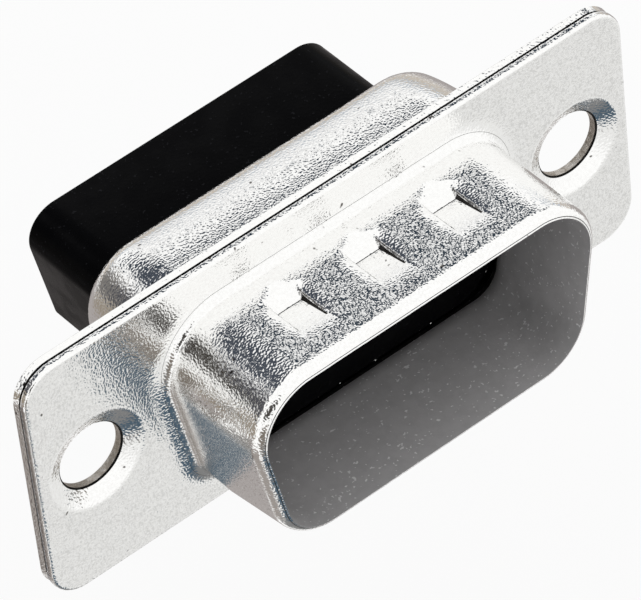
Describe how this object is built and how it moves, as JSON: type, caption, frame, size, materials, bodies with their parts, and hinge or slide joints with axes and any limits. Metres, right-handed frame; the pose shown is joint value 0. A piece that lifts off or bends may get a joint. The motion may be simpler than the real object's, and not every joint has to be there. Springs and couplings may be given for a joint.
{
  "type": "d-sub connector",
  "caption": "Empty D-sub plug housing for crimp contacts: pressed tin-plated shells, a D-shaped hood and a flange with mounting holes, round a black moulded insulator.",
  "frame": {"origin": "middle of the flange's front face, on the line through the two mounting holes", "axes": "+X along the flange, -Y out of the hood's mouth towards the mating connector, +Z towards the wide side of the D"},
  "size_m": [0.0308, 0.0159, 0.0126],
  "materials": {
    "tin_plate": "bright tin plate with a fine mottle, bare steel at the cut edges",
    "black_moulding": "black glass-filled moulding, satin"
  },
  "bodies": {
    "root": {"front_shell": "tin_plate", "rear_shell": "tin_plate", "insulator": "black_moulding"}
  },
  "joints": []
}
